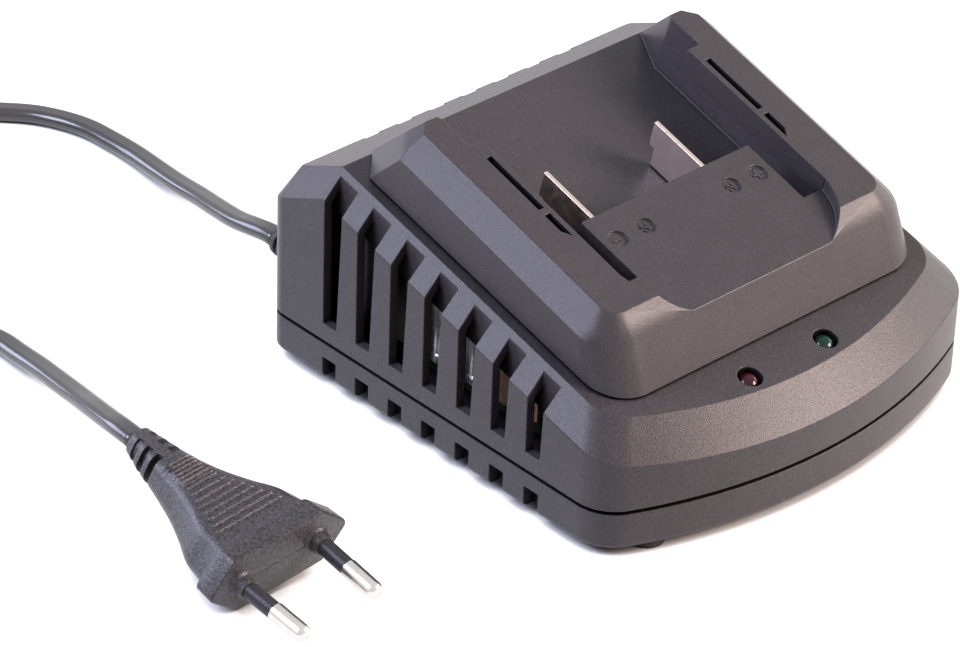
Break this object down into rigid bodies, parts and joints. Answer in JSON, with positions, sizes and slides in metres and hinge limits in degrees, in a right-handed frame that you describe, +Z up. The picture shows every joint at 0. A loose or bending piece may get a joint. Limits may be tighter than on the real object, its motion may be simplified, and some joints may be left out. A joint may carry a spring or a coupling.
{
  "type": "power tool battery charger",
  "caption": "Wedge-shaped mains charger with an open slide-in battery dock, side vents, two status lamps and a coiled two-core cord with a flat two-pin plug.",
  "frame": {"origin": "on the table under the middle of the charger's own box, cord left out", "axes": "+X right, +Y towards the back wall where the cord leaves, +Z up; the lamps face -Y"},
  "size_m": [0.1877, 0.2757, 0.0622],
  "materials": {
    "housing_lower": "moulded dark grey, fine grain",
    "housing_upper": "moulded dark grey, fine grain",
    "dock": "moulded dark grey, fine grain",
    "carrier": "black moulded insulator",
    "blade": "nickel-plated sheet",
    "red_lamp": "clear red epoxy",
    "green_lamp": "clear green epoxy",
    "spacer": "white nylon",
    "board": "green solder mask",
    "ferrite": "sintered ferrite",
    "winding_tape": "yellow tape over copper wire",
    "capacitor_sleeve": "heat-shrunk sleeve",
    "capacitor_can": "bare can",
    "film_box": "olive-yellow box",
    "choke": "enamelled copper winding",
    "fuse_glass": "ceramic tube",
    "chip_body": "black epoxy",
    "heat_sink": "extruded",
    "resistor": "tan ceramic",
    "disc": "blue dipped",
    "wire_red": "insulated wire",
    "wire_brown": "insulated wire",
    "screw": "zinc plated",
    "foot": "soft black rubber",
    "gland": "moulded black PVC",
    "cord": "semi-gloss black PVC",
    "tie": "black strip",
    "plug": "moulded black PVC, fine grain",
    "plug_insert": "black moulded insert",
    "pin": "nickel-plated brass",
    "sleeve": "black insulating sleeve"
  },
  "bodies": {
    "root": {"base_housing": "housing_lower", "top_housing": "housing_upper", "battery_dock": "dock", "contact_carrier": "carrier", "blade_negative": "blade", "blade_positive": "blade", "red_lamp": "red_lamp", "green_lamp": "green_lamp", "lamp_spacers": "spacer", "circuit_board": "board", "transformer_core": "ferrite", "transformer_winding": "winding_tape", "mains_capacitor": "capacitor_sleeve", "output_capacitor": "capacitor_can", "film_capacitor": "film_box", "line_choke": "choke", "fuse": "fuse_glass", "bridge_rectifier": "chip_body", "heat_sink": "heat_sink", "power_transistor": "chip_body", "ceramic_resistor": "resistor", "disc_capacitor": "disc", "controller_chip": "chip_body", "output_leads": "wire_red", "mains_leads": "wire_brown", "housing_screws": "screw", "dock_screws": "screw", "board_screws": "screw", "rubber_feet": "foot", "cord_gland": "gland", "mains_cord": "cord", "cord_coil": "cord", "coil_tie": "tie", "plug_body": "plug", "plug_insert": "plug_insert", "plug_pins": "pin", "pin_sleeves": "sleeve"}
  },
  "joints": []
}
